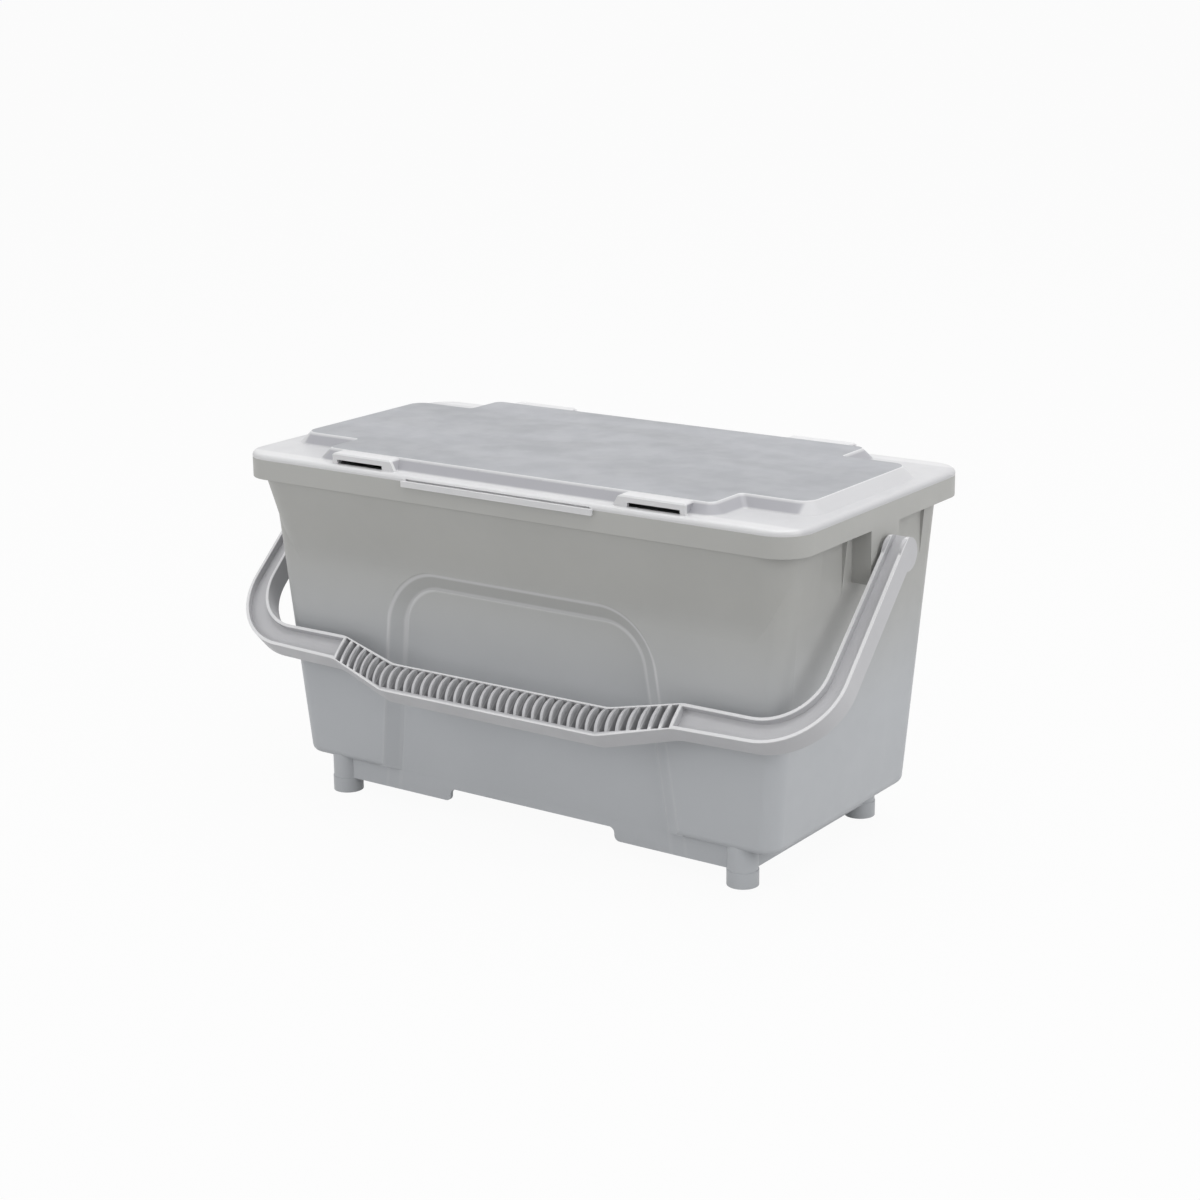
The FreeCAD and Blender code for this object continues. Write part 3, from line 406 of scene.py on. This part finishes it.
def lay_floor(size):
    bpy.ops.object.select_all(action="DESELECT")
    bpy.ops.mesh.primitive_plane_add(size=size, location=(0, 0, 0))
    floor = bpy.context.object
    floor.name = "floor"
    paint = bpy.data.materials.new("white_floor")
    paint.use_nodes = True
    tree = paint.node_tree
    tree.nodes.remove(tree.nodes["Principled BSDF"])
    output = tree.nodes["Material Output"]
    matt = tree.nodes.new("ShaderNodeBsdfDiffuse")
    matt.inputs["Color"].default_value = (FLOOR_GREY, FLOOR_GREY, FLOOR_GREY, 1)
    glow = tree.nodes.new("ShaderNodeEmission")
    glow.inputs["Color"].default_value = (1, 1, 1, 1)
    share = tree.nodes.new("ShaderNodeMath")
    share.operation = "MULTIPLY"
    tree.links.new(seen_directly(tree), share.inputs[0])
    share.inputs[1].default_value = FLOOR_GLOW
    blend = tree.nodes.new("ShaderNodeMixShader")
    tree.links.new(share.outputs["Value"], blend.inputs["Fac"])
    tree.links.new(matt.outputs["BSDF"], blend.inputs[1])
    tree.links.new(glow.outputs["Emission"], blend.inputs[2])
    tree.links.new(blend.outputs["Shader"], output.inputs["Surface"])
    floor.data.materials.append(paint)


def soft_lamp(name, place, target, size, power):
    bpy.ops.object.select_all(action="DESELECT")
    bpy.ops.object.light_add(type="AREA", location=place)
    lamp = bpy.context.object
    lamp.name = name
    lamp.data.shape = "SQUARE"
    lamp.data.size = size
    lamp.data.energy = power
    lamp.rotation_euler = (Vector(target) - Vector(place)).to_track_quat("-Z", "Y").to_euler()


class BUCKET_OT_set_stage(Operator):
    """White floor, soft lamps and the camera"""
    bl_idname = "bucket.set_stage"
    bl_label = "Set the stage"

    def execute(self, context):
        stage = context.scene.bucket_stage
        lay_floor(stage.floor_size)
        for name, place, target, side, power in LAMPS:
            soft_lamp(name, place, target, side, getattr(stage, power))
        world = bpy.data.worlds.new("even_white")
        context.scene.world = world
        world.use_nodes = True
        tree = world.node_tree
        back = tree.nodes["Background"]
        back.inputs["Color"].default_value = (1, 1, 1, 1)
        strength = tree.nodes.new("ShaderNodeMapRange")
        tree.links.new(seen_directly(tree), strength.inputs["Value"])
        strength.inputs["To Min"].default_value = stage.sky
        strength.inputs["To Max"].default_value = 1.0
        tree.links.new(strength.outputs["Result"], back.inputs["Strength"])
        eye = bpy.data.cameras.new("photo_camera")
        eye.sensor_fit = "HORIZONTAL"
        eye.sensor_width = 36.0
        eye.lens = stage.lens
        camera = bpy.data.objects.new("photo_camera", eye)
        context.scene.collection.objects.link(camera)
        turn = (Matrix.Rotation(stage.azimuth, 4, "Z")
                @ Matrix.Rotation(math.pi / 2 - stage.elevation, 4, "X")
                @ Matrix.Rotation(-stage.roll, 4, "Z"))
        camera.matrix_world = Matrix.Translation(Vector(stage.camera_place)) @ turn
        context.scene.camera = camera
        context.scene.view_settings.view_transform = "Standard"
        return {"FINISHED"}


# Panel and run

class BUCKET_PT_panel(Panel):
    """Steps that finish the bucket"""
    bl_idname = "BUCKET_PT_panel"
    bl_label = "Window Cleaning Bucket"
    bl_space_type = "VIEW_3D"
    bl_region_type = "UI"
    bl_category = "Bucket"

    def draw(self, context):
        layout = self.layout
        for step, settings in STEPS:
            part = layout.box()
            part.operator(step.bl_idname)
            group = getattr(context.scene, settings)
            for name in group.__annotations__:
                part.prop(group, name)


STEPS = (
    (BUCKET_OT_finish_tub, "bucket_tub"),
    (BUCKET_OT_finish_lid, "bucket_lid"),
    (BUCKET_OT_finish_bail, "bucket_bail"),
    (BUCKET_OT_set_stage, "bucket_stage"),
)
GROUPS = {
    "bucket_tub": TubFinish,
    "bucket_lid": LidFinish,
    "bucket_bail": BailFinish,
    "bucket_stage": StageSettings,
}
CLASSES = (*GROUPS.values(), *(step for step, settings in STEPS), BUCKET_PT_panel)


def register():
    for cls in CLASSES:
        bpy.utils.register_class(cls)
    for name, group in GROUPS.items():
        setattr(bpy.types.Scene, name, PointerProperty(type=group))


def unregister():
    for name in GROUPS:
        delattr(bpy.types.Scene, name)
    for cls in reversed(CLASSES):
        bpy.utils.unregister_class(cls)


def main():
    register()
    bpy.ops.bucket.finish_tub()
    bpy.ops.bucket.finish_lid()
    bpy.ops.bucket.finish_bail()
    bpy.ops.bucket.set_stage()


if __name__ == "__main__":
    main()
